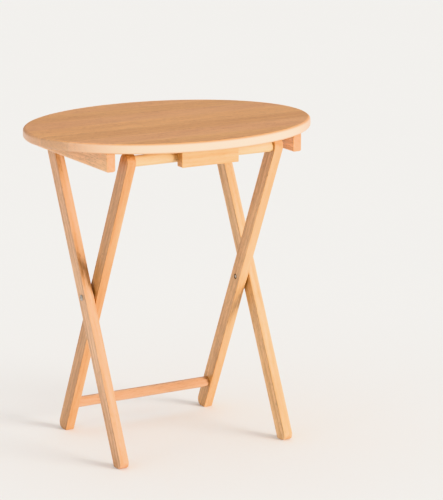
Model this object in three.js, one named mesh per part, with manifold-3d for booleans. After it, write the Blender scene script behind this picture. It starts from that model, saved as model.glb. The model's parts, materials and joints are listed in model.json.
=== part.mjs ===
// Folding tray table: an oval slatted top on two cleats, carried by two crossed pairs of legs.
// Millimetres. +X runs along the long side of the top, -Y is the front, +Z is up.
// The origin is on the floor, under the centre of the top.
import * as THREE from "three";
import { mergeVertices } from "three/addons/utils/BufferGeometryUtils.js";
import Module from "manifold-3d";

const wasm = await Module();
wasm.setup();

// ---- Driving dimensions: top ----
const tableHeight = 660;
const topLength = 608;
const topDepth = 466;
const topThickness = 20;
const rimRadius = 6;
const staveCount = 7;

// ---- Driving dimensions: cleats and latch block under the top ----
const cleatRimInset = 85;
const cleatThickness = 18;
const cleatHeight = 37;
const cleatEndSetback = 7;
const latchLength = 127;
const latchHeight = 40;
const latchLipThickness = 21;
const latchTail = 14;

// ---- Driving dimensions: legs ----
const pivotHeight = 318;
const legWidth = 33;
const legThickness = 19;
const legTopClearance = 6.5;
const legPairGap = 5;
const cleatLegGap = 1.6;
const topPivotEndDistance = 14;
const footRadius = 12.5;
const edgeEase = 1.2;

// ---- Driving dimensions: dowels and hardware ----
const dowelDiameter = 22;
const dowelSocketDepth = 13;
const footDowelHeight = 61;
const boltDiameter = 6;
const boltHeadDiameter = 12;
const boltHeadThickness = 2.4;
const boltHeadRim = 0.8;
const nutDiameter = 11;
const nutThickness = 4.4;
const crossSpacerDiameter = 18;
const topWasherDiameter = 16;
const screwDiameter = 4;
const screwHeadDiameter = 8;
const screwHeadThickness = 3;
const screwPointLength = 4;
const screwCounterboreDepth = 8;
const screwBite = 12;
const cleatScrewEndDistance = 44;
const latchScrewSpacing = 76;
const bradDiameter = 1.8;
const bradReachPastCentre = 4;

// ---- Clearances and roundness ----
const fitGap = 0.3;
const cutOverrun = 2;
const ovalSegments = 112;
const roundSegments = 24;
const smallRoundSegments = 16;
const bradSegments = 8;
const rimSegments = 3;
const arcSegments = 8;
const domeSegments = 4;

// ---- Sizes worked out from the driving dimensions ----
const undersideZ = tableHeight - topThickness;
const cleatOuterX = topLength / 2 - cleatRimInset;
const cleatX = cleatOuterX - cleatThickness / 2;
const outerLegX = cleatOuterX - cleatThickness - cleatLegGap - legThickness / 2;
const innerLegX = outerLegX - legThickness - legPairGap;
const innerLegInsideX = innerLegX - legThickness / 2;
const ovalHalfDepthAtCleat = (topDepth / 2) * Math.sqrt(1 - (cleatOuterX / (topLength / 2)) ** 2);
const cleatHalfLength = ovalHalfDepthAtCleat - cleatEndSetback;
const legEndRadius = legWidth / 2;
const topAxisY = cleatHalfLength - topPivotEndDistance;
const topAxisZ = undersideZ - legEndRadius - legTopClearance;
const topAxisRise = topAxisZ - pivotHeight;
const leanAngle = Math.atan2(topAxisY, topAxisRise);
const footDowelRise = footDowelHeight - pivotHeight;
const dowelRadius = dowelDiameter / 2;
const socketRadius = dowelRadius + fitGap;
const dowelHalfLength = innerLegInsideX + dowelSocketDepth - fitGap;
const boltHoleRadius = boltDiameter / 2 + fitGap;
const nutRecessDepth = nutThickness + 2 * fitGap;
const bradHoleRadius = bradDiameter / 2 + fitGap;
const cleatScrewY = cleatHalfLength - cleatScrewEndDistance;
const latchFrontY = -topAxisY - socketRadius - latchLipThickness;
const latchBackY = -topAxisY + latchTail;
const latchScrewY = latchFrontY + latchLipThickness / 2;

// ---- Materials ----
function woodMaterial(shade) {
  return new THREE.MeshStandardMaterial({ color: shade, roughness: 0.5, metalness: 0 });
}

function steelMaterial(shade) {
  return new THREE.MeshStandardMaterial({ color: shade, roughness: 0.4, metalness: 1 });
}

const staveShades = [0xd8aa78, 0xcf9f6b, 0xdcb080, 0xd3a572, 0xd9ad7c, 0xcd9c69, 0xd6a975];
const frameWood = woodMaterial(0xdcb284);
const dowelWood = woodMaterial(0xd9ae7e);
const zincSteel = steelMaterial(0xb9b4ad);
const bronzedSteel = steelMaterial(0x5a4634);
const nylon = new THREE.MeshStandardMaterial({ color: 0xe6e1d6, roughness: 0.6, metalness: 0 });

// ---- Joining and cutting closed solids ----
function toSolid(geometry) {
  const bare = geometry.clone();
  bare.deleteAttribute("normal");
  bare.deleteAttribute("uv");
  const merged = mergeVertices(bare, 1e-4);
  return new wasm.Manifold(
    new wasm.Mesh({
      numProp: 3,
      vertProperties: merged.attributes.position.array,
      triVerts: new Uint32Array(merged.index.array),
    }),
  );
}

function toGeometry(solid) {
  const data = solid.getMesh();
  const geometry = new THREE.BufferGeometry();
  geometry.setAttribute("position", new THREE.BufferAttribute(data.vertProperties, 3));
  geometry.setIndex(new THREE.BufferAttribute(data.triVerts, 1));
  geometry.computeVertexNormals();
  return geometry;
}

function cutAll(geometry, cutters) {
  let solid = toSolid(geometry);
  for (const cutter of cutters) {
    solid = solid.subtract(toSolid(cutter));
  }
  return toGeometry(solid);
}

function addMesh(parent, name, geometry, material) {
  const mesh = new THREE.Mesh(geometry, material);
  mesh.name = name;
  parent.add(mesh);
  return mesh;
}

// ---- Round shapes ----
// A round bar along X from x0 to x1, at y and z.
function barAlongX(radius, x0, x1, y, z, segments) {
  const bar = new THREE.CylinderGeometry(radius, radius, Math.abs(x1 - x0), segments);
  bar.rotateZ(Math.PI / 2);
  return bar.translate((x0 + x1) / 2, y, z);
}

// A round bar along Z from z0 to z1, at x and y.
function barAlongZ(radius, z0, z1, x, y, segments) {
  const bar = new THREE.CylinderGeometry(radius, radius, z1 - z0, segments);
  bar.rotateX(Math.PI / 2);
  return bar.translate(x, y, (z0 + z1) / 2);
}

// Outline points of [radius, distance] turned about X, the distances running towards +X.
function turnedAlongX(outline, segments) {
  const points = outline.map(([radius, distance]) => new THREE.Vector2(radius, distance));
  const turned = new THREE.LatheGeometry(points, segments);
  return turned.rotateZ(-Math.PI / 2);
}

function ringAlongX(outerRadius, innerRadius, thickness, segments) {
  const half = thickness / 2;
  return turnedAlongX(
    [
      [innerRadius, -half],
      [outerRadius, -half],
      [outerRadius, half],
      [innerRadius, half],
      [innerRadius, -half],
    ],
    segments,
  );
}

// ---- Top: one oval board of edge-glued staves, rounded over along both edges ----
function ovalBoard() {
  const oval = new THREE.Shape();
  oval.absellipse(0, 0, topLength / 2, topDepth / 2, 0, 2 * Math.PI, false, 0);
  const board = new THREE.ExtrudeGeometry(oval, {
    depth: topThickness - 2 * rimRadius,
    curveSegments: ovalSegments,
    bevelEnabled: true,
    bevelThickness: rimRadius,
    bevelSize: rimRadius,
    bevelOffset: -rimRadius,
    bevelSegments: rimSegments,
  });
  return board.translate(0, 0, undersideZ + rimRadius);
}

function screwSeats() {
  const seats = [];
  for (const side of [-1, 1]) {
    for (const y of [-cleatScrewY, 0, cleatScrewY]) {
      seats.push({ name: "cleat_screw", x: side * cleatX, y, bottomZ: undersideZ - cleatHeight });
    }
  }
  for (const side of [-1, 1]) {
    const x = (side * latchScrewSpacing) / 2;
    seats.push({ name: "latch_screw", x, y: latchScrewY, bottomZ: undersideZ - latchHeight });
  }
  return seats;
}

// The hole that a screw needs in a piece under the top, with its wider mouth.
function screwCutters(seat) {
  const shaft = barAlongZ(
    screwDiameter / 2 + fitGap,
    seat.bottomZ - cutOverrun,
    undersideZ + screwBite + fitGap,
    seat.x,
    seat.y,
    smallRoundSegments,
  );
  const mouth = barAlongZ(
    screwHeadDiameter / 2 + fitGap,
    seat.bottomZ - cutOverrun,
    seat.bottomZ + screwCounterboreDepth,
    seat.x,
    seat.y,
    smallRoundSegments,
  );
  return [shaft, mouth];
}

function buildStaves(parent, seats) {
  let board = toSolid(ovalBoard());
  for (const seat of seats) {
    board = board.subtract(toSolid(screwCutters(seat)[0]));
  }
  const staveWidth = topDepth / staveCount;
  for (let index = 0; index < staveCount; index += 1) {
    const middleY = -topDepth / 2 + staveWidth * (index + 0.5);
    const strip = new THREE.BoxGeometry(
      topLength + cutOverrun,
      staveWidth - fitGap,
      topThickness + cutOverrun,
    );
    strip.translate(0, middleY, undersideZ + topThickness / 2);
    const shade = staveShades[index % staveShades.length];
    const stave = toGeometry(board.intersect(toSolid(strip)));
    addMesh(parent, `stave_${index + 1}`, stave, woodMaterial(shade));
  }
}

// ---- Cleats: two rails across the grain, each carrying one outer leg on a bolt ----
function easedBox(sizeX, sizeY, sizeZ) {
  const outline = new THREE.Shape();
  outline.moveTo(-sizeY / 2, -sizeZ / 2);
  outline.lineTo(sizeY / 2, -sizeZ / 2);
  outline.lineTo(sizeY / 2, sizeZ / 2);
  outline.lineTo(-sizeY / 2, sizeZ / 2);
  outline.closePath();
  return easedPlate(outline, sizeX, 1);
}

// Turns a plate drawn flat so that its outline lies in (Y, Z) and its thickness along X.
function standUp(plate) {
  const alongX = new THREE.Vector3(1, 0, 0);
  const alongY = new THREE.Vector3(0, 1, 0);
  const alongZ = new THREE.Vector3(0, 0, 1);
  return plate.applyMatrix4(new THREE.Matrix4().makeBasis(alongY, alongZ, alongX));
}

// A flat outline drawn in (Y, Z), given its thickness along X and eased along its edges.
function easedPlate(outline, thickness, curveSegments) {
  const plate = new THREE.ExtrudeGeometry(outline, {
    depth: thickness - 2 * edgeEase,
    curveSegments,
    bevelEnabled: true,
    bevelThickness: edgeEase,
    bevelSize: edgeEase,
    bevelOffset: -edgeEase,
    bevelSegments: 1,
  });
  return standUp(plate.translate(0, 0, edgeEase - thickness / 2));
}

function buildCleats(parent, seats) {
  const middleZ = undersideZ - fitGap - cleatHeight / 2;
  for (const [side, label] of [[-1, "left"], [1, "right"]]) {
    const blank = easedBox(cleatThickness, 2 * cleatHalfLength, cleatHeight);
    blank.translate(side * cleatX, 0, middleZ);
    const cutters = seats
      .filter((seat) => Math.sign(seat.x) === side && seat.name === "cleat_screw")
      .flatMap(screwCutters);
    const boltHole = barAlongX(
      boltHoleRadius,
      side * (cleatX - cleatThickness),
      side * (cleatX + cleatThickness),
      topAxisY,
      topAxisZ,
      smallRoundSegments,
    );
    cutters.push(boltHole);
    addMesh(parent, `cleat_${label}`, cutAll(blank, cutters), frameWood);
  }
}

// ---- Latch block: its cove drops over the top dowel from the front, and its tail rests on it ----
function buildLatchBlock(parent, seats) {
  const topZ = undersideZ - fitGap;
  const bottomZ = undersideZ - latchHeight;
  const outline = new THREE.Shape();
  outline.moveTo(latchFrontY, bottomZ);
  outline.lineTo(-topAxisY - socketRadius, bottomZ);
  outline.lineTo(-topAxisY - socketRadius, topAxisZ);
  outline.absarc(-topAxisY, topAxisZ, socketRadius, Math.PI, Math.PI / 2, true);
  outline.lineTo(latchBackY, topAxisZ + socketRadius);
  outline.lineTo(latchBackY, topZ);
  outline.lineTo(latchFrontY, topZ);
  outline.closePath();
  const blank = new THREE.ExtrudeGeometry(outline, {
    depth: latchLength,
    curveSegments: arcSegments,
    bevelEnabled: false,
  });
  standUp(blank.translate(0, 0, -latchLength / 2));
  const cutters = seats.filter((seat) => seat.name === "latch_screw").flatMap(screwCutters);
  addMesh(parent, "latch_block", cutAll(blank, cutters), frameWood);
}

// ---- Screws: flat head in a counterbore, shaft up into the top ----
function buildScrews(parent, seats) {
  const counts = {};
  for (const seat of seats) {
    counts[seat.name] = (counts[seat.name] || 0) + 1;
    const headZ = seat.bottomZ + screwCounterboreDepth - fitGap - screwHeadThickness;
    const length = undersideZ + screwBite - headZ;
    const outline = [
      [0, 0],
      [screwHeadDiameter / 2, 0],
      [screwHeadDiameter / 2, screwHeadThickness],
      [screwDiameter / 2, screwHeadThickness],
      [screwDiameter / 2, length - screwPointLength],
      [0, length],
    ];
    const points = outline.map(([radius, distance]) => new THREE.Vector2(radius, distance));
    const screw = new THREE.LatheGeometry(points, smallRoundSegments).rotateX(Math.PI / 2);
    const mesh = addMesh(parent, `${seat.name}_${counts[seat.name]}`, screw, zincSteel);
    mesh.position.set(seat.x, seat.y, headZ);
  }
}

// ---- Legs ----
// The outline of a leg in (Y, Z) about its cross pivot, its foot towards +Y: a round top end,
// and a foot cut level with the floor whose outward corner is rounded.
function legOutline() {
  const across = (offset, z) => offset / Math.cos(leanAngle) - z * Math.tan(leanAngle);
  const floorZ = -pivotHeight;
  const radius = Math.min(footRadius, legWidth / 2);
  const cornerZ = floorZ + radius;
  const cornerY = across(legEndRadius - radius, cornerZ);
  const outline = new THREE.Shape();
  outline.moveTo(across(-legEndRadius, floorZ), floorZ);
  outline.lineTo(cornerY, floorZ);
  outline.absarc(cornerY, cornerZ, radius, -Math.PI / 2, leanAngle, false);
  outline.absarc(-topAxisY, topAxisRise, legEndRadius, leanAngle, leanAngle + Math.PI, false);
  outline.closePath();
  return outline;
}

function footDowelY() {
  return -footDowelRise * Math.tan(leanAngle);
}

// A bar across the leg's width from its back edge towards its front edge, at a dowel.
function acrossLeg(radius, x, y, z, fromOffset, toOffset, segments) {
  const bar = new THREE.CylinderGeometry(radius, radius, fromOffset - toOffset, segments);
  bar.translate(0, (fromOffset + toOffset) / 2, 0);
  bar.rotateX(leanAngle);
  return bar.translate(x, y, z);
}

const dowelSeats = [
  { name: "top", y: -topAxisY, z: topAxisRise },
  { name: "foot", y: footDowelY(), z: footDowelRise },
];

function bradX(side) {
  return -side * (legThickness / 2 - dowelSocketDepth / 2);
}

function buildInnerLegs(parent) {
  for (const [side, label] of [[-1, "left"], [1, "right"]]) {
    const insideFace = (-side * legThickness) / 2;
    const outsideEnd = side * (legThickness / 2 + cutOverrun);
    const mouth = insideFace - side * cutOverrun;
    const cutters = [
      barAlongX(boltHoleRadius, mouth, outsideEnd, 0, 0, smallRoundSegments),
      barAlongX(
        nutDiameter / 2 + fitGap,
        mouth,
        insideFace + side * nutRecessDepth,
        0,
        0,
        smallRoundSegments,
      ),
    ];
    for (const seat of dowelSeats) {
      const end = insideFace + side * dowelSocketDepth;
      cutters.push(barAlongX(socketRadius, mouth, end, seat.y, seat.z, roundSegments));
      cutters.push(
        acrossLeg(
          bradHoleRadius,
          bradX(side),
          seat.y,
          seat.z,
          legEndRadius + cutOverrun,
          dowelRadius / 2,
          bradSegments,
        ),
      );
    }
    const blank = easedPlate(legOutline(), legThickness, arcSegments);
    const leg = addMesh(parent, `inner_leg_${label}`, cutAll(blank, cutters), frameWood);
    leg.position.x = side * innerLegX;
  }
}

function buildOuterLegs(parent) {
  for (const [side, label] of [[-1, "left"], [1, "right"]]) {
    const insideFace = (side * legThickness) / 2;
    const mouth = insideFace + side * cutOverrun;
    const outsideEnd = -side * (legThickness / 2 + cutOverrun);
    const cutters = [
      barAlongX(boltHoleRadius, mouth, outsideEnd, 0, 0, smallRoundSegments),
      barAlongX(boltHoleRadius, mouth, outsideEnd, -topAxisY, topAxisRise, smallRoundSegments),
      barAlongX(
        nutDiameter / 2 + fitGap,
        mouth,
        insideFace - side * nutRecessDepth,
        -topAxisY,
        topAxisRise,
        smallRoundSegments,
      ),
    ];
    const blank = easedPlate(legOutline(), legThickness, arcSegments);
    const leg = addMesh(parent, `outer_leg_${label}`, cutAll(blank, cutters), frameWood);
    leg.position.x = side * outerLegX;
    leg.rotation.z = Math.PI;
  }
}

// ---- Dowels: two round rails let into blind sockets, each end held by a brad ----
function buildDowels(parent) {
  for (const seat of dowelSeats) {
    const bar = barAlongX(dowelRadius, -dowelHalfLength, dowelHalfLength, 0, 0, roundSegments);
    const cutters = [-1, 1].map((side) =>
      acrossLeg(
        bradHoleRadius,
        side * innerLegX + bradX(side),
        0,
        0,
        legEndRadius,
        -bradReachPastCentre - fitGap,
        bradSegments,
      ),
    );
    const dowel = addMesh(parent, `${seat.name}_dowel`, cutAll(bar, cutters), dowelWood);
    dowel.position.set(0, seat.y, seat.z);
    for (const [side, label] of [[-1, "left"], [1, "right"]]) {
      const brad = acrossLeg(
        bradDiameter / 2,
        0,
        0,
        0,
        legEndRadius - fitGap,
        -bradReachPastCentre,
        bradSegments,
      );
      const mesh = addMesh(parent, `${seat.name}_dowel_brad_${label}`, brad, zincSteel);
      mesh.position.set(side * innerLegX + bradX(side), seat.y, seat.z);
    }
  }
}

// ---- Bolts: a domed head outside, a sleeve nut let into the face at the other end ----
// The bolt's own zero is the face under its head; it runs towards -X.
function boltGeometry(gripLength) {
  const headRadius = boltHeadDiameter / 2;
  const length = gripLength - fitGap;
  const domeStart = fitGap + boltHeadRim;
  const domeHeight = boltHeadThickness - boltHeadRim;
  const outline = [[0, -length], [boltDiameter / 2, -length], [boltDiameter / 2, fitGap]];
  outline.push([headRadius, fitGap]);
  for (let step = 0; step < domeSegments; step += 1) {
    const turn = ((Math.PI / 2) * step) / domeSegments;
    outline.push([headRadius * Math.cos(turn), domeStart + domeHeight * Math.sin(turn)]);
  }
  outline.push([0, domeStart + domeHeight]);
  return turnedAlongX(outline, smallRoundSegments);
}

function buildBoltSet(parent, set) {
  for (const [side, label] of [[-1, "left"], [1, "right"]]) {
    const facing = side > 0 ? 0 : Math.PI;
    const grip = set.headFaceX - set.nutFaceX;
    const bolt = addMesh(parent, `${set.name}_bolt_${label}`, boltGeometry(grip), zincSteel);
    bolt.position.set(side * set.headFaceX, set.y, set.z);
    bolt.rotation.z = facing;
    const washer = ringAlongX(set.washerRadius, boltHoleRadius, set.gap - 2 * fitGap, roundSegments);
    const washerMesh = addMesh(parent, `${set.name}_washer_${label}`, washer, set.washerMaterial);
    washerMesh.position.set(side * set.washerX, set.y, set.z);
    const nut = ringAlongX(nutDiameter / 2, boltHoleRadius, nutThickness, smallRoundSegments);
    const nutMesh = addMesh(parent, `${set.name}_nut_${label}`, nut, bronzedSteel);
    nutMesh.position.set(side * (set.nutFaceX + fitGap + nutThickness / 2), set.y, set.z);
  }
}

const crossBolts = {
  name: "cross",
  y: 0,
  z: pivotHeight,
  headFaceX: outerLegX + legThickness / 2,
  nutFaceX: innerLegX - legThickness / 2,
  washerX: (innerLegX + outerLegX) / 2,
  gap: legPairGap,
  washerRadius: crossSpacerDiameter / 2,
  washerMaterial: nylon,
};

const topBolts = {
  name: "top",
  y: topAxisY,
  z: topAxisZ,
  headFaceX: cleatOuterX,
  nutFaceX: outerLegX - legThickness / 2,
  washerX: outerLegX + legThickness / 2 + cleatLegGap / 2,
  gap: cleatLegGap,
  washerRadius: topWasherDiameter / 2,
  washerMaterial: zincSteel,
};

// ---- The table ----
const table = new THREE.Group();

const top = new THREE.Group();
const seats = screwSeats();
buildStaves(top, seats);
buildCleats(top, seats);
buildLatchBlock(top, seats);
buildScrews(top, seats);
table.add(top);

const innerFrame = new THREE.Group();
innerFrame.position.z = pivotHeight;
buildInnerLegs(innerFrame);
buildDowels(innerFrame);
table.add(innerFrame);

const outerLegs = new THREE.Group();
outerLegs.position.z = pivotHeight;
buildOuterLegs(outerLegs);
table.add(outerLegs);

buildBoltSet(table, crossBolts);
buildBoltSet(table, topBolts);

export default table;
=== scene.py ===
import json
import math
import random

import bmesh
import bpy
from mathutils import Matrix, Vector


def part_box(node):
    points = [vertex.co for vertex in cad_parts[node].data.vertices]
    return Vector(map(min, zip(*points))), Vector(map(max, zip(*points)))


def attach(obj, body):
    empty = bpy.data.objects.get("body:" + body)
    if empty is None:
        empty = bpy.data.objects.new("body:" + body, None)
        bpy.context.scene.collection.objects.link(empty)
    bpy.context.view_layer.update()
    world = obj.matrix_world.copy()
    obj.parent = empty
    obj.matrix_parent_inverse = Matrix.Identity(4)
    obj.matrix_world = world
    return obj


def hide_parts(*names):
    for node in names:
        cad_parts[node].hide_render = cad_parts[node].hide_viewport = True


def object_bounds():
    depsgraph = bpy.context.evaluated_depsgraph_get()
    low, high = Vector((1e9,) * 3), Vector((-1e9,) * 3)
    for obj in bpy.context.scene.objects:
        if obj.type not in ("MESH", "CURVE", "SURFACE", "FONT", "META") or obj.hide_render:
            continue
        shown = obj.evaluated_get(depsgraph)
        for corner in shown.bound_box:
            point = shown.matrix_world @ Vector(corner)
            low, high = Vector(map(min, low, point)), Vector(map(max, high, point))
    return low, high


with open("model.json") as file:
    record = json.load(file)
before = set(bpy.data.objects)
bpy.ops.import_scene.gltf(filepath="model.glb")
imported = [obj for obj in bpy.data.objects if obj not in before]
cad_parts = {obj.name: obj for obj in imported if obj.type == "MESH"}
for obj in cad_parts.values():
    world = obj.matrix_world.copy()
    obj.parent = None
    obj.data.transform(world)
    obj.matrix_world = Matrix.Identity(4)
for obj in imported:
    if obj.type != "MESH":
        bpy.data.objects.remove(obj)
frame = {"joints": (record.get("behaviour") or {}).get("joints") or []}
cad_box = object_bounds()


# ---- Top ------------------------------------------------------------------
# Seven rubberwood staves, glued edge to edge with the grain along the oval, then sawn to the oval
# as one board, rounded over along both edges of the rim, sanded and sprayed with satin lacquer.
STAVES = 7
RIM_ROUND = 0.006
RIM_ROUND_STEPS = 7
OVAL_STEPS = 256
GLUE_LINE = 0.00005
SAW_TOLERANCE = 1e-7
SCREW_SHAFT = 0.004
SCREW_STEPS = 20
SCREW_HOLE_ROOM = 0.0003
CLEAT_SCREWS = [f"cleat_screw_{number}" for number in range(1, 7)]
LATCH_SCREWS = [f"latch_screw_{number}" for number in range(1, 3)]
SAME_PLACE = 1e-6
CIRCULAR = 0.5
SHARP_CORNER = math.radians(34)
GRAIN_ALONG_X = (0.0, 0.0, 0.0)
LACQUER_WEIGHT = 0.7
LACQUER_ROUGHNESS = 0.3
LACQUER_SHINE = 0.3
RELIEF_STRENGTH = 0.35
RELIEF_DEPTH = 0.0002
VESSEL_SHARE = (0.52, 0.45, 0.4)
END_GRAIN_SHOWS = (0.35, 0.95)
BOARD_SHIFT = 3.0
TOP_PALE = (0.77, 0.39, 0.138)
TOP_DEEP = (0.52, 0.202, 0.054)
# Painted highlight on the rim: its sides are mixed toward this pale cream, weaker where end grain
# shows, standing in for the key light's reflection in the lacquer.
RIM_HIGHLIGHT_PAINT = (1.0, 0.88, 0.7, 1.0)
RIM_HIGHLIGHT_STRENGTH = 0.66
RIM_END_SHARE = 0.35
RIM_TURNS = (0.98, 0.25)
STAVE_FIGURE = 0.84
STAVE_HEART_SIDE = 0.25
STAVE_HEART_DEPTHS = (-0.06, 0.07)
STAVE_HEART_DRIFT = 0.02
STAVE_TINTS = (
    (0.98, 0.975, 0.93),
    (1.0, 0.985, 1.13),
    (0.93, 0.9, 0.82),
    (1.03, 1.02, 1.0),
    (0.97, 0.94, 1.04),
    (0.95, 0.93, 0.86),
    (1.02, 1.01, 1.08),
)

# How finely each feature of the wood repeats, along and across the grain, per metre.
DRIFT_RUN = (2.2, 9.0)
RING_RUN = (0.12, 1.0)
BROAD_RUN = (3.5, 42.0)
STREAK_RUN = (9.0, 190.0)
RIPPLE_RUN = (38.0, 430.0)
FIBRE_RUN = (45.0, 1900.0)
VESSEL_RUN = (70.0, 620.0)

# The part of each feature's range that its shading is spread over.
BROAD_RANGE = (0.3, 0.7)
STREAK_RANGE = (0.32, 0.68)
FIBRE_RANGE = (0.25, 0.75)
RIPPLE_RANGE = (0.34, 0.66)
CROWD_RANGE = (0.35, 0.62)

# How strongly each feature shows.
DRIFT = 0.009
RING_SCALE = 34.0
RING_WOBBLE = 2.6
RING_WOBBLE_SCALE = 22.0
RING_WOBBLE_ROUGHNESS = 0.55
BROAD_SHARE = 0.36
STREAK_SHARE = 0.42
RING_SHARE = 0.2
FIBRE_LIGHT = (0.93, 1.07)
RIPPLE_LIGHT = (0.85, 1.1)
VESSEL_SIZE = (0.14, 0.38)
VESSEL_LEFT_OUT = 0.42
VESSEL_CROWD = (0.3, 0.85)
END_GRAIN_DEPTH = 0.34
WOOD_ROUGHNESS = 0.36

chance = random.Random(41)


def add_node(tree, kind, inputs=(), **settings):
    made = tree.nodes.new(kind)
    for key, value in settings.items():
        setattr(made, key, value)
    for key, value in dict(inputs).items():
        if isinstance(value, bpy.types.NodeSocket):
            tree.links.new(value, made.inputs[key])
        else:
            made.inputs[key].default_value = value
    return made


def new_group(name, takes, gives):
    group = bpy.data.node_groups.new(name, "ShaderNodeTree")
    for label, kind in takes:
        group.interface.new_socket(name=label, in_out="INPUT", socket_type="NodeSocket" + kind)
    for label, kind in gives:
        group.interface.new_socket(name=label, in_out="OUTPUT", socket_type="NodeSocket" + kind)
    return group, group.nodes.new("NodeGroupInput"), group.nodes.new("NodeGroupOutput")


def stretched(tree, vector, along, across):
    return add_node(
        tree, "ShaderNodeVectorMath", {0: vector, 1: (along, across, across)}, operation="MULTIPLY"
    ).outputs[0]


def cloud(tree, vector, detail=2.0, roughness=0.5):
    return add_node(
        tree,
        "ShaderNodeTexNoise",
        {"Vector": vector, "Scale": 1.0, "Detail": detail, "Roughness": roughness},
    ).outputs[0]


def spread(tree, value, low, high, to_low=0.0, to_high=1.0, smooth=False):
    return add_node(
        tree,
        "ShaderNodeMapRange",
        {"Value": value, "From Min": low, "From Max": high, "To Min": to_low, "To Max": to_high},
        interpolation_type="SMOOTHSTEP" if smooth else "LINEAR",
    ).outputs[0]


def maths(tree, operation, *values, clamp=False):
    return add_node(
        tree, "ShaderNodeMath", enumerate(values), operation=operation, use_clamp=clamp
    ).outputs[0]


def sum_of(tree, *weighted):
    total = 0.0
    for value, weight in weighted:
        total = maths(tree, "MULTIPLY_ADD", value, weight, total)
    return total


def mixed(tree, amount, first, second, blend="MIX"):
    return add_node(
        tree, "ShaderNodeMix", {0: amount, 6: first, 7: second}, data_type="RGBA", blend_type=blend
    ).outputs[2]


# Pattern space: X runs along the grain and the heart of the tree lies on Y = Z = 0.
def rubberwood_grain():
    group, takes, gives = new_group(
        "Rubberwood grain",
        (
            ("Vector", "Vector"),
            ("End grain", "Float"),
            ("Pale", "Color"),
            ("Deep", "Color"),
            ("Vessel", "Color"),
            ("Figure", "Float"),
        ),
        (("Color", "Color"), ("Roughness", "Float"), ("Height", "Float")),
    )
    vector = takes.outputs["Vector"]
    end_grain = takes.outputs["End grain"]
    figure = takes.outputs["Figure"]
    drift = cloud(group, stretched(group, vector, *DRIFT_RUN))
    swing = spread(group, drift, 0.0, 1.0, -DRIFT, DRIFT)
    bent = add_node(
        group, "ShaderNodeVectorMath", {0: vector, 1: swing}, operation="ADD"
    ).outputs[0]
    ring = add_node(
        group,
        "ShaderNodeTexWave",
        {
            "Vector": stretched(group, bent, *RING_RUN),
            "Scale": RING_SCALE,
            "Distortion": RING_WOBBLE,
            "Detail": 2.0,
            "Detail Scale": RING_WOBBLE_SCALE,
            "Detail Roughness": RING_WOBBLE_ROUGHNESS,
        },
        wave_type="RINGS",
        rings_direction="X",
        wave_profile="SIN",
    ).outputs[1]
    broad = cloud(group, stretched(group, bent, *BROAD_RUN))
    streak = cloud(group, stretched(group, bent, *STREAK_RUN), 3.0, 0.6)
    ripple = cloud(group, stretched(group, bent, *RIPPLE_RUN), 2.0, 0.55)
    fibre = cloud(group, stretched(group, bent, *FIBRE_RUN), 2.0, 0.6)

    # Growth rings and streaks run between the pale and the deep tone.
    shade = sum_of(
        group,
        (spread(group, broad, *BROAD_RANGE), BROAD_SHARE),
        (spread(group, streak, *STREAK_RANGE), STREAK_SHARE),
        (ring, RING_SHARE),
    )
    depth = maths(group, "MULTIPLY", shade, figure, clamp=True)
    tone = mixed(group, depth, takes.outputs["Pale"], takes.outputs["Deep"])
    fibre_light = spread(group, fibre, *FIBRE_RANGE, *FIBRE_LIGHT)
    tone = mixed(group, 1.0, tone, fibre_light, "MULTIPLY")
    ripple_light = spread(group, ripple, *RIPPLE_RANGE, *RIPPLE_LIGHT)
    rippled = mixed(group, 1.0, tone, ripple_light, "MULTIPLY")
    tone = mixed(group, figure, tone, rippled)

    # Open vessels show as short dark dashes, crowded where the wood is deeper.
    cells = add_node(
        group,
        "ShaderNodeTexVoronoi",
        {"Vector": stretched(group, bent, *VESSEL_RUN), "Scale": 1.0, "Randomness": 1.0},
        feature="F1",
    )
    dash = spread(group, cells.outputs["Distance"], *VESSEL_SIZE, 1.0, 0.0, True)
    chosen = maths(group, "GREATER_THAN", cells.outputs["Color"], VESSEL_LEFT_OUT)
    vessel = maths(group, "MULTIPLY", dash, chosen)
    crowd = spread(group, broad, *CROWD_RANGE, *VESSEL_CROWD)
    vessel_tint = maths(group, "MULTIPLY", vessel, crowd, clamp=True)
    tone = mixed(group, vessel_tint, tone, takes.outputs["Vessel"])
    end_depth = maths(group, "MULTIPLY", end_grain, END_GRAIN_DEPTH)
    tone = mixed(group, end_depth, tone, takes.outputs["Deep"], "MULTIPLY")

    roughness = sum_of(group, (streak, 0.1), (vessel, 0.14), (end_grain, 0.08), (fibre, 0.06))
    roughness = maths(group, "ADD", roughness, WOOD_ROUGHNESS)
    height = sum_of(group, (fibre, 0.4), (streak, 0.25), (vessel, -1.0))
    group.links.new(tone, gives.inputs["Color"])
    group.links.new(roughness, gives.inputs["Roughness"])
    group.links.new(height, gives.inputs["Height"])
    return group


grain = rubberwood_grain()


def new_material(name):
    material = bpy.data.materials.new(name)
    material.use_nodes = True
    tree = material.node_tree
    tree.nodes.clear()
    shader = tree.nodes.new("ShaderNodeBsdfPrincipled")
    out = tree.nodes.new("ShaderNodeOutputMaterial")
    tree.links.new(shader.outputs["BSDF"], out.inputs["Surface"])
    return material, tree, shader


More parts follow.
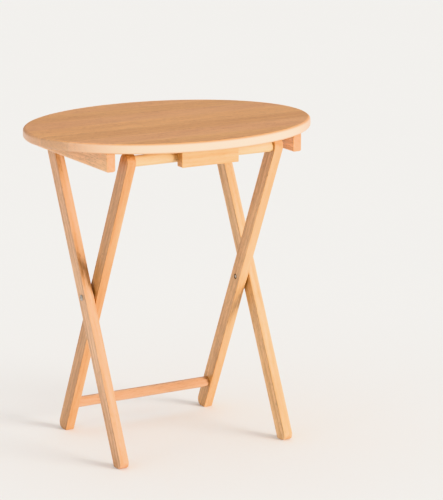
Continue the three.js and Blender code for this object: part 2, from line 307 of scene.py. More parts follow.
# One board of lacquered wood. Turn lays its grain along pattern X, and heart is where the heart of
# its own tree lies from it.
def lacquered_wood(name, turn, heart, pale, deep, tint, figure=1.0, painted_rim_highlight=False):
    material, tree, shader = new_material(name)
    place = tree.nodes.new("ShaderNodeTexCoord")
    run = chance.uniform(-BOARD_SHIFT, BOARD_SHIFT)
    laid = add_node(
        tree,
        "ShaderNodeMapping",
        {"Vector": place.outputs["Object"], "Rotation": turn, "Location": (run, *heart)},
        vector_type="POINT",
    ).outputs[0]
    facing = add_node(
        tree,
        "ShaderNodeMapping",
        {"Vector": place.outputs["Normal"], "Rotation": turn},
        vector_type="VECTOR",
    ).outputs[0]
    along = add_node(tree, "ShaderNodeSeparateXYZ", {0: facing}).outputs[0]
    end_grain = spread(tree, maths(tree, "ABSOLUTE", along), *END_GRAIN_SHOWS, 0.0, 1.0, True)
    body = add_node(
        tree,
        "ShaderNodeGroup",
        {
            "Vector": laid,
            "End grain": end_grain,
            "Pale": (*(part * share for part, share in zip(pale, tint)), 1.0),
            "Deep": (*(part * share for part, share in zip(deep, tint)), 1.0),
            "Vessel": (*(part * share for part, share in zip(deep, VESSEL_SHARE)), 1.0),
            "Figure": figure,
        },
        node_tree=grain,
    )
    relief = add_node(
        tree,
        "ShaderNodeBump",
        {"Strength": RELIEF_STRENGTH, "Distance": RELIEF_DEPTH, "Height": body.outputs["Height"]},
    )
    colour = body.outputs["Color"]
    # Painted highlight: the faces that turn outwards round the rim are mixed toward a pale cream, less
    # on end grain.
    if painted_rim_highlight:
        up = add_node(tree, "ShaderNodeSeparateXYZ", {0: place.outputs["Normal"]}).outputs[2]
        level = maths(tree, "ABSOLUTE", up)
        rim_highlight = spread(tree, level, *RIM_TURNS, 0.0, RIM_HIGHLIGHT_STRENGTH, True)
        long_grain = spread(tree, end_grain, 0.0, 1.0, 1.0, RIM_END_SHARE)
        colour = mixed(tree, maths(tree, "MULTIPLY", rim_highlight, long_grain), colour, RIM_HIGHLIGHT_PAINT)
    tree.links.new(colour, shader.inputs["Base Color"])
    tree.links.new(body.outputs["Roughness"], shader.inputs["Roughness"])
    tree.links.new(relief.outputs[0], shader.inputs["Normal"])
    shader.inputs["Specular IOR Level"].default_value = LACQUER_SHINE
    shader.inputs["Coat Weight"].default_value = LACQUER_WEIGHT
    shader.inputs["Coat Roughness"].default_value = LACQUER_ROUGHNESS
    return material


def loose_object(bm, name):
    mesh = bpy.data.meshes.new(name)
    bm.to_mesh(mesh)
    bm.free()
    made = bpy.data.objects.new(name, mesh)
    bpy.context.scene.collection.objects.link(made)
    return made


# Cuts every cutter out of the first mesh and gives the carved mesh back.
def carved(bm, cutters):
    blank = loose_object(bm, "blank")
    tool_mesh = bmesh.new()
    for cutter in cutters:
        held = bpy.data.meshes.new("held")
        cutter.to_mesh(held)
        cutter.free()
        tool_mesh.from_mesh(held)
        bpy.data.meshes.remove(held)
    tool = loose_object(tool_mesh, "tool")
    cut = blank.modifiers.new("cut", "BOOLEAN")
    cut.operation = "DIFFERENCE"
    cut.solver = "EXACT"
    cut.object = tool
    seen = blank.evaluated_get(bpy.context.evaluated_depsgraph_get())
    result = bmesh.new()
    result.from_mesh(seen.to_mesh())
    seen.to_mesh_clear()
    for used in (blank, tool):
        used_mesh = used.data
        bpy.data.objects.remove(used)
        bpy.data.meshes.remove(used_mesh)
    bmesh.ops.remove_doubles(result, verts=result.verts, dist=SAME_PLACE)
    return result


# A closed body turned about +Z from an outline of (radius, distance along).
def turned(outline, steps, ring=False):
    bm = bmesh.new()
    rim = [bm.verts.new((radius, 0.0, along)) for radius, along in outline]
    edges = [bm.edges.new(pair) for pair in zip(rim, rim[1:])]
    if ring:
        edges.append(bm.edges.new((rim[-1], rim[0])))
    bmesh.ops.spin(
        bm,
        geom=rim + edges,
        cent=(0.0, 0.0, 0.0),
        axis=(0.0, 0.0, 1.0),
        angle=math.tau,
        steps=steps,
        use_merge=True,
    )
    bmesh.ops.remove_doubles(bm, verts=bm.verts, dist=SAME_PLACE)
    bmesh.ops.recalc_face_normals(bm, faces=bm.faces)
    return bm


def thickened(bm, step):
    raised = bmesh.ops.extrude_face_region(bm, geom=bm.faces[:])
    moved = [part for part in raised["geom"] if isinstance(part, bmesh.types.BMVert)]
    bmesh.ops.translate(bm, vec=step, verts=moved)


def rounded(bm, edges, width, steps, clamped=False):
    bmesh.ops.bevel(
        bm,
        geom=edges,
        offset=width,
        offset_type="OFFSET",
        affect="EDGES",
        segments=steps,
        profile=CIRCULAR,
        material=-1,
        clamp_overlap=clamped,
    )


def placed(bm, point, turn=Matrix.Identity(4)):
    bmesh.ops.transform(bm, matrix=Matrix.Translation(point) @ turn, verts=bm.verts)
    return bm


def finished(bm, name, finish, slot, body, *nodes):
    made = loose_object(bm, name)
    made.data.polygons.foreach_set("use_smooth", [True] * len(made.data.polygons))
    made.data.set_sharp_from_angle(angle=SHARP_CORNER)
    flats = made.modifiers.new("even flats", "WEIGHTED_NORMAL")
    flats.keep_sharp = True
    made.data.materials.append(finish)
    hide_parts(*nodes)
    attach(made, body)
    return made


def middle(node):
    low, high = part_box(node)
    return (low + high) / 2


def screw_shaft_cutter(node):
    low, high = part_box(node)
    shaft = SCREW_SHAFT / 2 + SCREW_HOLE_ROOM
    reach = high.z - low.z + SCREW_HOLE_ROOM
    outline = [(0.0, 0.0), (shaft, 0.0), (shaft, reach), (0.0, reach)]
    centre = middle(node)
    return placed(turned(outline, SCREW_STEPS), (centre.x, centre.y, low.z))


stave_boxes = [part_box(f"stave_{number}") for number in range(1, STAVES + 1)]
top_low = Vector(min(low[axis] for low, high in stave_boxes) for axis in range(3))
top_high = Vector(max(high[axis] for low, high in stave_boxes) for axis in range(3))
top_middle = (top_low + top_high) / 2

oval = bmesh.new()
bmesh.ops.create_circle(oval, cap_ends=True, segments=OVAL_STEPS, radius=1.0)
bmesh.ops.scale(
    oval,
    vec=((top_high.x - top_low.x) / 2, (top_high.y - top_low.y) / 2, 1.0),
    verts=oval.verts,
)
bmesh.ops.translate(oval, vec=(top_middle.x, top_middle.y, top_low.z), verts=oval.verts)
thickened(oval, (0.0, 0.0, top_high.z - top_low.z))
bmesh.ops.recalc_face_normals(oval, faces=oval.faces)
rim_edges = [
    edge for edge in oval.edges if abs(edge.verts[0].co.z - edge.verts[1].co.z) < SAME_PLACE
]
rounded(oval, rim_edges, RIM_ROUND, RIM_ROUND_STEPS)
oval = carved(oval, [screw_shaft_cutter(node) for node in CLEAT_SCREWS + LATCH_SCREWS])

for number in range(1, STAVES + 1):
    low, high = stave_boxes[number - 1]
    stave = oval.copy()
    for edge_y, other, outward in (
        (low.y, stave_boxes[number - 2][1].y if number > 1 else None, -1.0),
        (high.y, stave_boxes[number][0].y if number < STAVES else None, 1.0),
    ):
        if other is None:
            continue
        joint_y = (edge_y + other) / 2 - outward * GLUE_LINE / 2
        sawn = bmesh.ops.bisect_plane(
            stave,
            geom=stave.verts[:] + stave.edges[:] + stave.faces[:],
            plane_co=(0.0, joint_y, 0.0),
            plane_no=(0.0, outward, 0.0),
            clear_outer=True,
            dist=SAW_TOLERANCE,
        )
        cut_edges = [part for part in sawn["geom_cut"] if isinstance(part, bmesh.types.BMEdge)]
        bmesh.ops.edgeloop_fill(stave, edges=cut_edges)
    bmesh.ops.recalc_face_normals(stave, faces=stave.faces)
    heart_side = chance.uniform(-STAVE_HEART_SIDE, STAVE_HEART_SIDE)
    heart_depth = chance.choice(STAVE_HEART_DEPTHS)
    heart_depth += chance.uniform(-STAVE_HEART_DRIFT, STAVE_HEART_DRIFT)
    stave_wood = lacquered_wood(
        f"stave {number} wood",
        GRAIN_ALONG_X,
        (heart_side, heart_depth - top_high.z),
        TOP_PALE,
        TOP_DEEP,
        tint=STAVE_TINTS[number - 1],
        figure=STAVE_FIGURE,
        # The rim carries a painted highlight.
        painted_rim_highlight=True,
    )
    finished(stave, f"top_stave_{number}", stave_wood, "top_wood", "top", f"stave_{number}")
oval.free()


# ---- Cleats ---------------------------------------------------------------
# Two straight rails planed from the same rubberwood, screwed across the staves from below to keep
# the top flat. Each has three counterbored screws and, near its back end, the bolt of an outer leg.
CLEAT_EASE = 0.0013
CLEAT_ROUND = 0.0032
CLEAT_ROUND_STEPS = 5
CLEAT_HEART_SIDE = (0.04, 0.09)
CLEAT_HEART_DEPTH = (-0.12, -0.06)
EASED_CORNER = math.radians(30)
EASE_STEPS = 3
FINE_EASE_STEPS = 2
BOLT_SHAFT = 0.006
BORE_ROOM = 0.0003
BORE_STEPS = 32
SCREW_HEAD = 0.008
COUNTERBORE_DEPTH = 0.008
COUNTERBORE_STEPS = 28
CUT_PAST = 0.002
TINY = 0.0001
GRAIN_ALONG_Y = (0.0, 0.0, -math.pi / 2)
TURN_TO_X = Matrix.Rotation(math.pi / 2, 4, "Y")
SIDES = ((-1, "left"), (1, "right"))
FRAME_PALE = (0.83, 0.54, 0.285)
FRAME_DEEP = (0.55, 0.285, 0.115)
CLEAT_TINT = (1.16, 1.1, 1.1)

swing_joint = next(joint for joint in frame["joints"] if joint["name"] == "top_swing")
fold_joint = next(joint for joint in frame["joints"] if joint["name"] == "leg_fold")
top_axis = Vector(swing_joint["pos_m"])
cross_axis = Vector(fold_joint["pos_m"])


def counterbore_cutter(node, bottom_z):
    centre = middle(node)
    mouth = SCREW_HEAD / 2 + SCREW_HOLE_ROOM
    shaft = SCREW_SHAFT / 2 + SCREW_HOLE_ROOM
    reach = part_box(node)[1].z - bottom_z + CUT_PAST
    outline = [
        (0.0, -CUT_PAST),
        (mouth, -CUT_PAST),
        (mouth, COUNTERBORE_DEPTH),
        (shaft, COUNTERBORE_DEPTH),
        (shaft, reach),
        (0.0, reach),
    ]
    return placed(turned(outline, COUNTERBORE_STEPS), (centre.x, centre.y, bottom_z))


def eased(bm, width, steps=EASE_STEPS):
    corners = [
        edge for edge in bm.edges if edge.is_manifold and edge.calc_face_angle() > EASED_CORNER
    ]
    rounded(bm, corners, width, steps, clamped=True)
    return bm


def box_mesh(size):
    bm = bmesh.new()
    bmesh.ops.create_cube(bm, size=1.0)
    bmesh.ops.scale(bm, vec=size, verts=bm.verts)
    return bm


def bore_along_x(radius, from_x, to_x, axis_point, steps=BORE_STEPS):
    start, end = min(from_x, to_x), max(from_x, to_x)
    outline = [(0.0, 0.0), (radius, 0.0), (radius, end - start), (0.0, end - start)]
    return placed(turned(outline, steps), (start, axis_point.y, axis_point.z), TURN_TO_X)


for side, label in SIDES:
    low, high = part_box(f"cleat_{label}")
    rail = placed(box_mesh(high - low), (low + high) / 2)
    under = [edge for edge in rail.edges if max(end.co.z for end in edge.verts) < low.z + TINY]
    rounded(rail, under, CLEAT_ROUND, CLEAT_ROUND_STEPS)
    eased(rail, CLEAT_EASE)
    own_screws = [node for node in CLEAT_SCREWS if middle(node).x * side > 0]
    tools = [counterbore_cutter(node, low.z) for node in own_screws]
    bore = BOLT_SHAFT / 2 + BORE_ROOM
    tools.append(bore_along_x(bore, low.x - CUT_PAST, high.x + CUT_PAST, top_axis))
    rail = carved(rail, tools)
    heart_side = chance.uniform(*CLEAT_HEART_SIDE) + middle(f"cleat_{label}").x
    heart_depth = chance.uniform(*CLEAT_HEART_DEPTH) - low.z
    rail_wood = lacquered_wood(
        f"{label} cleat wood",
        GRAIN_ALONG_Y,
        (heart_side, heart_depth),
        FRAME_PALE,
        FRAME_DEEP,
        tint=CLEAT_TINT,
    )
    finished(rail, f"{label}_cleat", rail_wood, "frame_wood", "top", f"cleat_{label}")


# ---- Latch block ----------------------------------------------------------
# A short block screwed under the front of the top. A quarter-round cove along its back lower corner
# drops over the top dowel and keeps the legs from spreading while the table stands open.
BLOCK_EASE = 0.0011
COVE_ROOM = 0.0003
COVE_STEPS = 10
BLOCK_HEART = (0.21, -0.11)
BLOCK_TINT = (1.0, 1.0, 0.9)


# Sweeps a round from the start vertex about an axis along X, and gives back the vertex it ends on.
def arc(bm, start, centre, angle, steps):
    swept = bmesh.ops.spin(
        bm, geom=[start], cent=centre, axis=(1.0, 0.0, 0.0), angle=angle, steps=steps
    )
    return next(part for part in swept["geom_last"] if isinstance(part, bmesh.types.BMVert))


low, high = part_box("latch_block")
dowel_low, dowel_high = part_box("top_dowel")
dowel_centre = (dowel_low + dowel_high) / 2
cove = (dowel_high.z - dowel_low.z) / 2 + COVE_ROOM
block = bmesh.new()
cove_start = block.verts.new((low.x, dowel_centre.y - cove, dowel_centre.z))
cove_centre = (low.x, dowel_centre.y, dowel_centre.z)
cove_end = arc(block, cove_start, cove_centre, -math.pi / 2, COVE_STEPS)
corners = [
    cove_end,
    block.verts.new((low.x, high.y, dowel_centre.z + cove)),
    block.verts.new((low.x, high.y, high.z)),
    block.verts.new((low.x, low.y, high.z)),
    block.verts.new((low.x, low.y, low.z)),
    block.verts.new((low.x, dowel_centre.y - cove, low.z)),
    cove_start,
]
for pair in zip(corners, corners[1:]):
    block.edges.new(pair)
bmesh.ops.edgeloop_fill(block, edges=block.edges[:])
thickened(block, (high.x - low.x, 0.0, 0.0))
bmesh.ops.recalc_face_normals(block, faces=block.faces)
eased(block, BLOCK_EASE)
block = carved(block, [counterbore_cutter(node, low.z) for node in LATCH_SCREWS])
block_wood = lacquered_wood(
    "latch block wood",
    GRAIN_ALONG_X,
    (BLOCK_HEART[0], BLOCK_HEART[1] - low.z),
    FRAME_PALE,
    FRAME_DEEP,
    tint=BLOCK_TINT,
)
finished(block, "latch_block_wood", block_wood, "frame_wood", "top", "latch_block")


# ---- Legs -----------------------------------------------------------------
# Four straight legs of the same wood: a round top end, a sole sawn level with the floor, a rounded
# toe, and eased edges. The inner pair takes the two dowels; the outer pair hangs from the cleats.
LEG_EASE = 0.0014
TOE_ROUND = 0.0125
TOE_STEPS = 10
END_STEPS = 24
NUT_RECESS = 0.0056
NUT_RECESS_DEPTH = 0.005
DOWEL_SOCKET_DEPTH = 0.013
DOWEL_SOCKET_STEPS = 48
BRAD_HOLE = 0.0012
BRAD_HOLE_FLOOR = 0.008
BRAD_HOLE_STEPS = 14
LEG_FIGURE = 1.3
LEG_HEART_SIDE = (0.05, 0.12)
LEG_HEART_DEPTH = (0.05, 0.1)
DOWELS = ("top_dowel", "foot_dowel")
# Per-leg tints. The left inner leg's tint is a painted shade that darkens the whole leg, and the right
# outer leg's is a painted light that makes it paler; the other two only shift the tone.
LEG_TINTS_AND_PAINTED_LIGHT = {
    "inner_leg_left": (0.84, 0.72, 0.64),
    "inner_leg_right": (1.02, 0.97, 0.9),
    "outer_leg_left": (1.02, 0.97, 1.08),
    "outer_leg_right": (1.1, 1.16, 1.2),
}
lean = math.atan2(top_axis.y, top_axis.z - cross_axis.z)
across_leg = Matrix.Rotation(lean - math.pi / 2, 4, "X")


# The outline stands in the plane of the leg's low face, foot towards +Y; a foot_side of -1 mirrors it.
def leg_blank(node, foot_side):
    low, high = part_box(node)
    half_width = high.z - top_axis.z
    slope = math.tan(lean)

    def at(offset, z):
        return Vector((low.x, offset / math.cos(lean) - (z - cross_axis.z) * slope, z))

    toe_centre = at(half_width - TOE_ROUND, low.z + TOE_ROUND)
    end_centre = at(0.0, top_axis.z)
    leg = bmesh.new()
    heel = leg.verts.new(at(-half_width, low.z))
    sole_end = leg.verts.new((low.x, toe_centre.y, low.z))
    leg.edges.new((heel, sole_end))
    toe_end = arc(leg, sole_end, toe_centre, math.pi / 2 + lean, TOE_STEPS)
    outwards = Vector((0.0, math.cos(lean), math.sin(lean)))
    shoulder = leg.verts.new(end_centre + outwards * half_width)
    leg.edges.new((toe_end, shoulder))
    crown_end = arc(leg, shoulder, end_centre, math.pi, END_STEPS)
    leg.edges.new((crown_end, heel))
    bmesh.ops.edgeloop_fill(leg, edges=leg.edges[:])
    thickened(leg, (high.x - low.x, 0.0, 0.0))
    if foot_side < 0:
        bmesh.ops.scale(leg, vec=(1.0, -1.0, 1.0), verts=leg.verts)
    bmesh.ops.recalc_face_normals(leg, faces=leg.faces)
    return eased(leg, LEG_EASE)


# A bolt's bore through a leg, opened out on the leg's inner face for the nut.
def nut_bore(side, mouth_x, end_x, axis_point):
    wide = NUT_RECESS + BORE_ROOM
    narrow = BOLT_SHAFT / 2 + BORE_ROOM
    shoulder = NUT_RECESS_DEPTH + CUT_PAST
    reach = abs(end_x - mouth_x)
    outline = [
        (0.0, 0.0),
        (wide, 0.0),
        (wide, shoulder),
        (narrow, shoulder),
        (narrow, reach),
        (0.0, reach),
    ]
    outwards = Matrix.Rotation(side * math.pi / 2, 4, "Y")
    bore = turned(outline, BORE_STEPS)
    return placed(bore, (mouth_x, axis_point.y, axis_point.z), outwards)


def brad_hole(dowel, label, start, reach):
    centre = middle(dowel)
    outline = [(0.0, start), (BRAD_HOLE, start), (BRAD_HOLE, reach), (0.0, reach)]
    hole = turned(outline, BRAD_HOLE_STEPS)
    brad_x = middle(f"{dowel}_brad_{label}").x
    return placed(hole, (brad_x, centre.y, centre.z), across_leg)


def dowel_socket(dowel, mouth_x, end_x):
    low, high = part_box(dowel)
    radius = (high.z - low.z) / 2 + BORE_ROOM
    return bore_along_x(radius, mouth_x, end_x, (low + high) / 2, DOWEL_SOCKET_STEPS)


for pair, foot_side, body in (("inner", 1, "inner_frame"), ("outer", -1, "outer_legs")):
    for side, label in SIDES:
        node = f"{pair}_leg_{label}"
        low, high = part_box(node)
        inside, outside = (high.x, low.x) if side < 0 else (low.x, high.x)
        mouth_x = inside - side * CUT_PAST
        end_x = outside + side * CUT_PAST
        leg = leg_blank(node, foot_side)
        if pair == "inner":
            socket_end = inside + side * DOWEL_SOCKET_DEPTH
            tools = [nut_bore(side, mouth_x, end_x, cross_axis)]
            tools += [dowel_socket(dowel, mouth_x, socket_end) for dowel in DOWELS]
            leg = carved(leg, tools)
            reach = high.z - top_axis.z + CUT_PAST
            leg = carved(leg, [brad_hole(dowel, label, BRAD_HOLE_FLOOR, reach) for dowel in DOWELS])
        else:
            bolt_bore = bore_along_x(BOLT_SHAFT / 2 + BORE_ROOM, mouth_x, end_x, cross_axis)
            leg = carved(leg, [nut_bore(side, mouth_x, end_x, top_axis), bolt_bore])
        heart_side = chance.uniform(*LEG_HEART_SIDE)
        heart_depth = middle(node).x + chance.choice((-1, 1)) * chance.uniform(*LEG_HEART_DEPTH)
        leg_wood = lacquered_wood(
            f"{label} {pair} leg wood",
            (-foot_side * lean, math.pi / 2, 0.0),
            (heart_side, heart_depth),
            FRAME_PALE,
            FRAME_DEEP,
            # Two of these tints are painted shade and painted light.
            tint=LEG_TINTS_AND_PAINTED_LIGHT[node],
            figure=LEG_FIGURE,
        )
        finished(leg, f"{label}_{pair}_leg", leg_wood, "frame_wood", body, node)


# ---- Dowels ---------------------------------------------------------------
# Two round rails between the inner legs, glued into blind sockets. They stiffen the frame, and the
# upper one is what the latch block catches.
DOWEL_STEPS = 56
DOWEL_EASE = 0.0009
DOWEL_FIGURE = 1.1
DOWEL_HEART_SIDE = (0.03, 0.06)
DOWEL_HEART_DEPTH = (-0.05, -0.03)
BRAD_SEAT = -0.0044
DOWEL_PALE = (0.8, 0.48, 0.25)
DOWEL_DEEP = (0.57, 0.29, 0.13)
# The top dowel's tint is a painted light that makes it much paler, as if lit under the top; the foot
# dowel's tint only makes it a little darker.
DOWEL_TINTS_AND_PAINTED_LIGHT = {"top_dowel": (1.2, 1.42, 1.42), "foot_dowel": (0.8, 0.75, 0.8)}

for name in DOWELS:
    low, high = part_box(name)
    radius = (high.z - low.z) / 2
    length = high.x - low.x
    rod = turned([(0.0, 0.0), (radius, 0.0), (radius, length), (0.0, length)], DOWEL_STEPS)
    eased(rod, DOWEL_EASE, FINE_EASE_STEPS)
    centre = (low + high) / 2
    placed(rod, (low.x, centre.y, centre.z), TURN_TO_X)
    brad_holes = [brad_hole(name, label, BRAD_SEAT, radius + CUT_PAST) for _, label in SIDES]
    rod = carved(rod, brad_holes)
    heart_side = chance.uniform(*DOWEL_HEART_SIDE) - centre.y
    heart_depth = chance.uniform(*DOWEL_HEART_DEPTH) - centre.z
    rod_wood = lacquered_wood(
        name.replace("_", " ") + " wood",
        GRAIN_ALONG_X,
        (heart_side, heart_depth),
        DOWEL_PALE,
        DOWEL_DEEP,
        # The top dowel's tint is a painted light.
        tint=DOWEL_TINTS_AND_PAINTED_LIGHT[name],
        figure=DOWEL_FIGURE,
    )
    finished(rod, f"{name}_rod", rod_wood, "dowel_wood", "inner_frame", name)


# ---- Screws and brads -----------------------------------------------------
# Zinc-plated cross-head screws sit in the counterbores under the cleats and the latch block. A thin
# wire brad through the back edge of each inner leg pins the dowel in its socket.
ZINC = (0.68, 0.62, 0.565)
ZINC_SHADE = (0.47, 0.42, 0.38)
ZINC_DULLNESS = 0.22
CROSS_LENGTH = 0.0046
CROSS_WIDTH = 0.0009
CROSS_DEPTH = 0.0014
CROSS_TURN = 0.5
THREAD_START = 0.004
THREAD_PITCH = 0.0016
THREAD_CUT = 0.0005
SCREW_POINT = 0.004
SCREW_NECK = 0.003
HEAD_DISH = 0.0009
BRAD_POINT = 0.004
BRAD_BLUNT = 0.0032
BRAD_BLUNT_SHARE = 0.35
BRAD_SHANK_SHARE = 0.8
BRAD_SUNK = 0.0004
BRAD_HEAD = 0.0007
BRAD_NECK = 0.0003
BRAD_CROWN = 0.0002
BRAD_STEPS = 18
FILM_RUN = (420.0, 420.0)
SCUFF_RUN = (5200.0, 700.0)
STEEL_RELIEF = 0.3
STEEL_RELIEF_DEPTH = 0.00005


def drawn_steel():
    group, takes, gives = new_group(
        "Plated steel",
        (("Vector", "Vector"), ("Light", "Color"), ("Dark", "Color"), ("Dullness", "Float")),
        (("Color", "Color"), ("Roughness", "Float"), ("Height", "Float")),
    )
    vector = takes.outputs["Vector"]
    film = cloud(group, stretched(group, vector, *FILM_RUN), 3.0, 0.6)
    scuff = cloud(group, stretched(group, vector, *SCUFF_RUN), 2.0, 0.5)
    mask = sum_of(group, (film, 0.6), (scuff, 0.4))
    worn = spread(group, mask, 0.35, 0.65)
    tone = mixed(group, worn, takes.outputs["Light"], takes.outputs["Dark"])
    roughness = sum_of(group, (scuff, 0.22), (film, 0.1), (takes.outputs["Dullness"], 1.0))
    group.links.new(tone, gives.inputs["Color"])
    group.links.new(roughness, gives.inputs["Roughness"])
    group.links.new(scuff, gives.inputs["Height"])
    return group


plating = drawn_steel()


def plated_steel(name, light, dark, dullness):
    material, tree, shader = new_material(name)
    place = tree.nodes.new("ShaderNodeTexCoord")
    body = add_node(
        tree,
        "ShaderNodeGroup",
        {
            "Vector": place.outputs["Object"],
            "Light": (*light, 1.0),
            "Dark": (*dark, 1.0),
            "Dullness": dullness,
        },
        node_tree=plating,
    )
    relief = add_node(
        tree,
        "ShaderNodeBump",
        {
            "Strength": STEEL_RELIEF,
            "Distance": STEEL_RELIEF_DEPTH,
            "Height": body.outputs["Height"],
        },
    )
    tree.links.new(body.outputs["Color"], shader.inputs["Base Color"])
    tree.links.new(body.outputs["Roughness"], shader.inputs["Roughness"])
    tree.links.new(relief.outputs[0], shader.inputs["Normal"])
    shader.inputs["Metallic"].default_value = 1.0
    return material


zinc = plated_steel("zinc plated steel", ZINC, ZINC_SHADE, ZINC_DULLNESS)

for node in CLEAT_SCREWS + LATCH_SCREWS:
    low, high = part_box(node)
    head = (high.x - low.x) / 2
    shaft = SCREW_SHAFT / 2
    length = high.z - low.z
    outline = [
        (0.0, 0.0),
        (head - HEAD_DISH / 2, 0.0),
        (head, HEAD_DISH / 3),
        (head, HEAD_DISH),
        (shaft, SCREW_NECK),
    ]
    thread_z = THREAD_START
    while thread_z < length - SCREW_POINT - THREAD_PITCH:
        outline.append((shaft - THREAD_CUT, thread_z))
        outline.append((shaft, thread_z + THREAD_PITCH / 2))
        thread_z += THREAD_PITCH
    outline += [(shaft - THREAD_CUT, thread_z), (0.0, length)]
    screw = turned(outline, SCREW_STEPS)
    for turn in (CROSS_TURN, CROSS_TURN + math.pi / 2):
        slot = box_mesh((CROSS_LENGTH, CROSS_WIDTH, 2 * CROSS_DEPTH))
        screw = carved(screw, [placed(slot, (0.0, 0.0, 0.0), Matrix.Rotation(turn, 4, "Z"))])
    centre = (low + high) / 2
    placed(screw, (centre.x, centre.y, low.z))
    finished(screw, f"{node}_steel", zinc, "zinc_steel", "top", node)

for dowel in DOWELS:
    for _, label in SIDES:
        node = f"{dowel}_brad_{label}"
        low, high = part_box(node)
        centre = middle(dowel)
        head = (high.x - low.x) / 2
        shank = head * BRAD_SHANK_SHARE
        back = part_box(f"inner_leg_{label}")[1].z - top_axis.z - BRAD_SUNK
        outline = [
            (0.0, -BRAD_POINT),
            (head * BRAD_BLUNT_SHARE, -BRAD_BLUNT),
            (shank, 0.0),
            (shank, back - BRAD_HEAD - BRAD_NECK),
            (head, back - BRAD_HEAD),
            (head, back - BRAD_CROWN),
            (shank, back),
            (0.0, back),
        ]
        brad = turned(outline, BRAD_STEPS)
        placed(brad, ((low.x + high.x) / 2, centre.y, centre.z), across_leg)
        finished(brad, f"{node}_steel", zinc, "zinc_steel", "inner_frame", node)


# ---- Bolts, nuts and washers ----------------------------------------------
# A domed connector bolt with a hexagon socket passes through each pair of legs at the crossing and
# through each cleat and outer leg at the back. Its sleeve nut lies in a shallow recess inside.
HEX_SOCKET = 0.0021
HEX_DEPTH = 0.0012
DOME_STEPS = 7
HEAD_RIM = 0.0008
BOLT_CHAMFER = 0.0006
BOLT_STEPS = 40
NUT_EASE = 0.0005
NUT_STEPS = 36
WASHER_EASE_SHARE = 0.18
WASHER_STEPS = 44
NUT_SLOT_WIDTH = 0.0012
NUT_SLOT_DEPTH = 0.0011
BRONZE = (0.27, 0.18, 0.1)
BRONZE_SHADE = (0.13, 0.08, 0.045)
NYLON = (0.76, 0.73, 0.66)
NYLON_SHADE = (0.64, 0.6, 0.52)
NYLON_RELIEF = 0.2
NYLON_ROUGHNESS = (0.42, 0.6)
MOTTLE_RUN = (260.0, 260.0)
SPECK_RUN = (2600.0, 2600.0)
BRONZE_DULLNESS = 0.26

bronzed = plated_steel("bronzed steel", BRONZE, BRONZE_SHADE, BRONZE_DULLNESS)


def moulded_nylon():
    material, tree, shader = new_material("spacer nylon")
    place = tree.nodes.new("ShaderNodeTexCoord")
    mottle = cloud(tree, stretched(tree, place.outputs["Object"], *MOTTLE_RUN), 3.0, 0.6)
    speck = cloud(tree, stretched(tree, place.outputs["Object"], *SPECK_RUN), 2.0, 0.5)
    tone = mixed(tree, spread(tree, mottle, 0.3, 0.7), (*NYLON, 1.0), (*NYLON_SHADE, 1.0))
    roughness = spread(tree, speck, 0.2, 0.8, *NYLON_ROUGHNESS)
    relief = add_node(
        tree,
        "ShaderNodeBump",
        {"Strength": NYLON_RELIEF, "Distance": STEEL_RELIEF_DEPTH, "Height": speck},
    )
    tree.links.new(tone, shader.inputs["Base Color"])
    tree.links.new(roughness, shader.inputs["Roughness"])
    tree.links.new(relief.outputs[0], shader.inputs["Normal"])
    return material


nylon = moulded_nylon()


# The bolt stands on its tip along +Z, and its head starts at seat.
def connector_bolt(length, seat, head_radius):
    shaft = BOLT_SHAFT / 2
    dome = length - seat - HEAD_RIM
    outline = [
        (0.0, 0.0),
        (shaft - BOLT_CHAMFER, 0.0),
        (shaft, BOLT_CHAMFER),
        (shaft, seat),
        (head_radius, seat),
    ]
    for step in range(DOME_STEPS):
        turn = math.pi / 2 * step / DOME_STEPS
        outline.append((head_radius * math.cos(turn), seat + HEAD_RIM + dome * math.sin(turn)))
    outline.append((0.0, length))
    bolt = turned(outline, BOLT_STEPS)
    socket = bmesh.new()
    bmesh.ops.create_cone(
        socket,
        cap_ends=True,
        segments=6,
        radius1=HEX_SOCKET,
        radius2=HEX_SOCKET,
        depth=2 * HEX_DEPTH,
    )
    bmesh.ops.translate(socket, vec=(0.0, 0.0, length), verts=socket.verts)
    return carved(bolt, [socket])


for name, axis_point, head_face, bolt_body, washer_finish, washer_slot in (
    ("cross", cross_axis, "outer_leg", "outer_legs", nylon, "nylon"),
    ("top", top_axis, "cleat", "top", zinc, "zinc_steel"),
):
    for side, label in SIDES:
        outwards = Matrix.Rotation(side * math.pi / 2, 4, "Y")
        node = f"{name}_bolt_{label}"
        low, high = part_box(node)
        wood_low, wood_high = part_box(f"{head_face}_{label}")
        tip = high.x if side < 0 else low.x
        seat = abs((wood_low.x if side < 0 else wood_high.x) - tip) + BORE_ROOM
        bolt = connector_bolt(high.x - low.x, seat, (high.z - low.z) / 2)
        placed(bolt, (tip, axis_point.y, axis_point.z), outwards)
        finished(bolt, f"{node}_steel", zinc, "zinc_steel", bolt_body, node)

        node = f"{name}_washer_{label}"
        low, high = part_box(node)
        outer = (high.z - low.z) / 2
        inner = BOLT_SHAFT / 2 + BORE_ROOM
        thick = high.x - low.x
        section = [(inner, 0.0), (outer, 0.0), (outer, thick), (inner, thick)]
        washer = turned(section, WASHER_STEPS, ring=True)
        eased(washer, thick * WASHER_EASE_SHARE, FINE_EASE_STEPS)
        placed(washer, (low.x, axis_point.y, axis_point.z), TURN_TO_X)
        finished(washer, f"{node}_ring", washer_finish, washer_slot, bolt_body, node)

        node = f"{name}_nut_{label}"
        low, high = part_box(node)
        outer = (high.z - low.z) / 2
        thick = high.x - low.x
        section = [(inner, 0.0), (outer, 0.0), (outer, thick), (inner, thick)]
        nut = turned(section, NUT_STEPS, ring=True)
        eased(nut, NUT_EASE, FINE_EASE_STEPS)
        nut = carved(nut, [box_mesh((4 * outer, NUT_SLOT_WIDTH, 2 * NUT_SLOT_DEPTH))])
        mouth = high.x if side < 0 else low.x
        placed(nut, (mouth, axis_point.y, axis_point.z), outwards)
        finished(nut, f"{node}_steel", bronzed, "bronzed_steel", bolt_body, node)


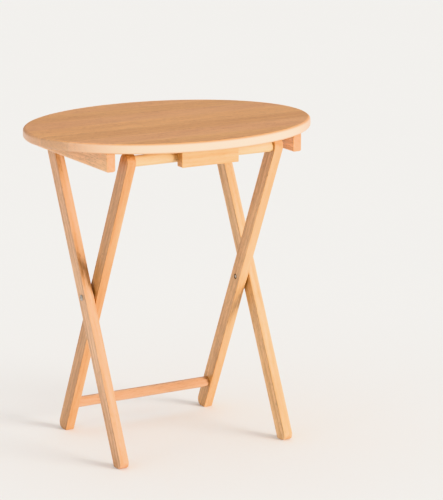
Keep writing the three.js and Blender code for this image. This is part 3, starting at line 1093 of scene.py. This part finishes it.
# ---- Studio ---------------------------------------------------------------
# A plain pale floor under a sky that is brighter overhead, with a broad soft light from low on the
# right, so the fronts are bright, and a weak one on the left that keeps those faces out of the dark.
FLOOR_SIZE = 40.0
FLOOR_MOTTLE = 1.5
FLOOR_ROUGHNESS = 0.9
FLOOR_SHINE = 0.1
FLOOR_PALE = (0.88, 0.878, 0.87)
FLOOR_SHADE = (0.86, 0.857, 0.85)
SKY = (1.0, 0.985, 0.965)
SKY_LOW = 0.25
SKY_HIGH = 1.1
SKY_RISE = (0.2, 0.75)
SKY_SEEN = 0.8
KEY_PLACE = Vector((1.4, -2.2, 0.5))
KEY_SPREAD = math.radians(36)
KEY_STRENGTH = 10.2
KEY_COLOUR = (1.0, 0.985, 0.955)
FILL_PLACE = Vector((-2.7, -0.5, 0.9))
FILL_SPREAD = math.radians(32)
FILL_STRENGTH = 0.75
FILL_COLOUR = (1.0, 0.955, 0.9)
AZIMUTH = math.radians(-29.89)
ELEVATION = math.radians(13.41)
CAMERA_DISTANCE = 5.139
CAMERA_AIM = Vector((0.1236, 0.0, 0.378))
LENS = 179.4
SENSOR_WIDTH = 36.0

floor_mesh = bmesh.new()
bmesh.ops.create_grid(floor_mesh, x_segments=1, y_segments=1, size=FLOOR_SIZE / 2)
bmesh.ops.translate(floor_mesh, vec=(0.0, 0.0, cad_box[0].z - TINY), verts=floor_mesh.verts)
floor = loose_object(floor_mesh, "studio_floor")
floor_paint, tree, shader = new_material("floor paint")
place = tree.nodes.new("ShaderNodeTexCoord")
mottle = cloud(tree, stretched(tree, place.outputs["Object"], FLOOR_MOTTLE, FLOOR_MOTTLE), 3.0)
tone = mixed(tree, mottle, (*FLOOR_PALE, 1.0), (*FLOOR_SHADE, 1.0))
tree.links.new(tone, shader.inputs["Base Color"])
shader.inputs["Roughness"].default_value = FLOOR_ROUGHNESS
shader.inputs["Specular IOR Level"].default_value = FLOOR_SHINE
floor.data.materials.append(floor_paint)

sky = bpy.data.worlds.new("studio sky")
bpy.context.scene.world = sky
sky.use_nodes = True
sky_tree = sky.node_tree
backdrop = sky_tree.nodes["Background"]
backdrop.inputs["Color"].default_value = (*SKY, 1.0)
compass = sky_tree.nodes.new("ShaderNodeTexCoord")
rise = add_node(sky_tree, "ShaderNodeSeparateXYZ", {0: compass.outputs["Generated"]}).outputs[2]
glow = spread(sky_tree, rise, *SKY_RISE, SKY_LOW, SKY_HIGH)
straight = sky_tree.nodes.new("ShaderNodeLightPath").outputs["Is Camera Ray"]
strength = add_node(
    sky_tree, "ShaderNodeMix", {0: straight, 2: glow, 3: SKY_SEEN}, data_type="FLOAT"
).outputs[0]
sky_tree.links.new(strength, backdrop.inputs["Strength"])


def aimed(data, name, place, aim):
    made = bpy.data.objects.new(name, data)
    bpy.context.scene.collection.objects.link(made)
    made.location = place
    made.rotation_euler = (place - aim).to_track_quat("Z", "Y").to_euler()
    return made


# Each light is far away, so it falls evenly on the floor, and the lacquer doesn't mirror it.
def soft_light(name, place, spread_angle, strength, colour):
    light = bpy.data.lights.new(name, "SUN")
    light.energy = strength
    light.angle = spread_angle
    light.color = colour
    made = aimed(light, name, place, (cad_box[0] + cad_box[1]) / 2)
    made.visible_glossy = False


soft_light("key", KEY_PLACE, KEY_SPREAD, KEY_STRENGTH, KEY_COLOUR)
soft_light("fill", FILL_PLACE, FILL_SPREAD, FILL_STRENGTH, FILL_COLOUR)

lens = bpy.data.cameras.new("camera")
lens.lens = LENS
lens.sensor_width = SENSOR_WIDTH
away = Vector(
    (
        math.sin(AZIMUTH) * math.cos(ELEVATION),
        -math.cos(AZIMUTH) * math.cos(ELEVATION),
        math.sin(ELEVATION),
    )
)
camera = aimed(lens, "camera", CAMERA_AIM + away * CAMERA_DISTANCE, CAMERA_AIM)
bpy.context.scene.camera = camera
bpy.context.scene.view_settings.view_transform = "Khronos PBR Neutral"
